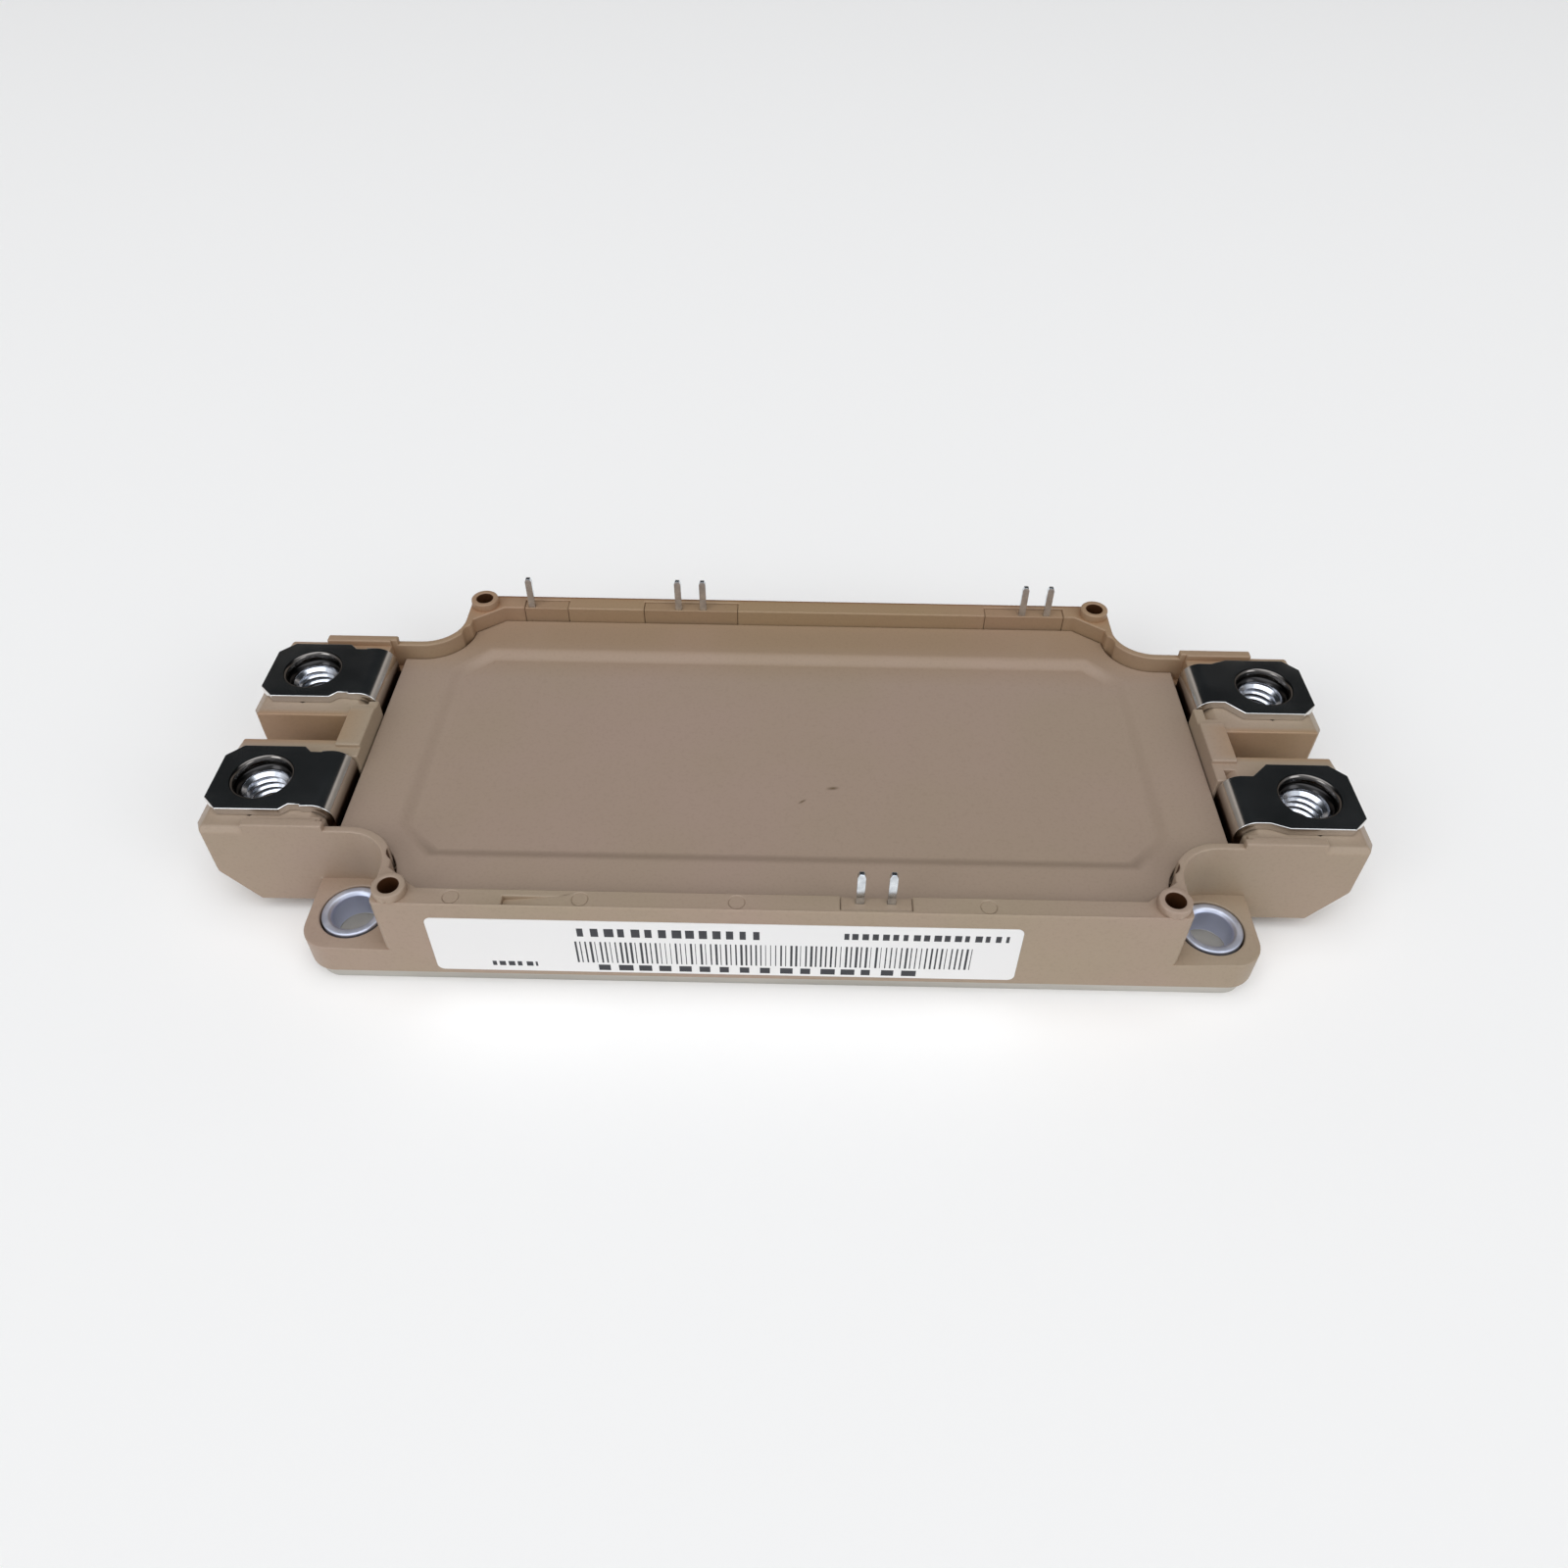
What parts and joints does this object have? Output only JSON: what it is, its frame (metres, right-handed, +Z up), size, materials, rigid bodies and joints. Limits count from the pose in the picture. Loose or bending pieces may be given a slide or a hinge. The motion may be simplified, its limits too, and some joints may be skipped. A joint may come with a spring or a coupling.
{
  "type": "dual igbt power module",
  "caption": "Flat half-bridge transistor power module with a moulded frame, sunken lid, screw terminals at both ends, control pins and screw lugs.",
  "frame": {"origin": "centre of the base plate's face on the heat sink", "axes": "+X along the length towards the output terminals, +Y towards the row of five pins, +Z up"},
  "size_m": [0.152, 0.0621, 0.0208],
  "materials": {
    "base_nickel": "dull nickel plate on copper",
    "housing_plastic": "fine moulded grain, tan",
    "lid_plastic": "fine moulded grain, tan",
    "carrier_plastic": "smooth moulded, tan",
    "terminal_nickel": "bright nickel plate on copper sheet",
    "zinc_steel": "bright zinc plate",
    "collar_steel": "bright zinc plate",
    "pin_tin": "dull tin plate",
    "label_paper": "smooth white label",
    "substrate_ceramic": "white, fired",
    "circuit_copper": "bare copper",
    "chip_silicon": "polished, dark grey",
    "wire_aluminium": "drawn wire",
    "gel_clear": "clear and soft"
  },
  "bodies": {
    "root": {"base_plate": "base_nickel", "housing_frame": "housing_plastic", "lid": "lid_plastic", "supply_terminal_front": "terminal_nickel", "supply_terminal_back": "terminal_nickel", "output_terminal_front": "terminal_nickel", "output_terminal_back": "terminal_nickel", "terminal_nuts": "zinc_steel", "collar_front_left": "collar_steel", "collar_front_right": "collar_steel", "collar_back_left": "collar_steel", "collar_back_right": "collar_steel", "pin_carrier_front": "carrier_plastic", "pin_carrier_back_left": "carrier_plastic", "pin_carrier_back_middle": "carrier_plastic", "pin_carrier_back_right": "carrier_plastic", "gate_pin_front": "pin_tin", "emitter_pin_front": "pin_tin", "collector_pin": "pin_tin", "gate_pin_back": "pin_tin", "emitter_pin_back": "pin_tin", "sensor_pin_inner": "pin_tin", "sensor_pin_outer": "pin_tin", "rating_label": "label_paper", "substrate_left": "substrate_ceramic", "substrate_right": "substrate_ceramic", "copper_left": "circuit_copper", "copper_right": "circuit_copper", "transistor_chips": "chip_silicon", "diode_chips": "chip_silicon", "temperature_sensor": "chip_silicon", "bond_wires": "wire_aluminium", "silicone_gel": "gel_clear"}
  },
  "joints": []
}
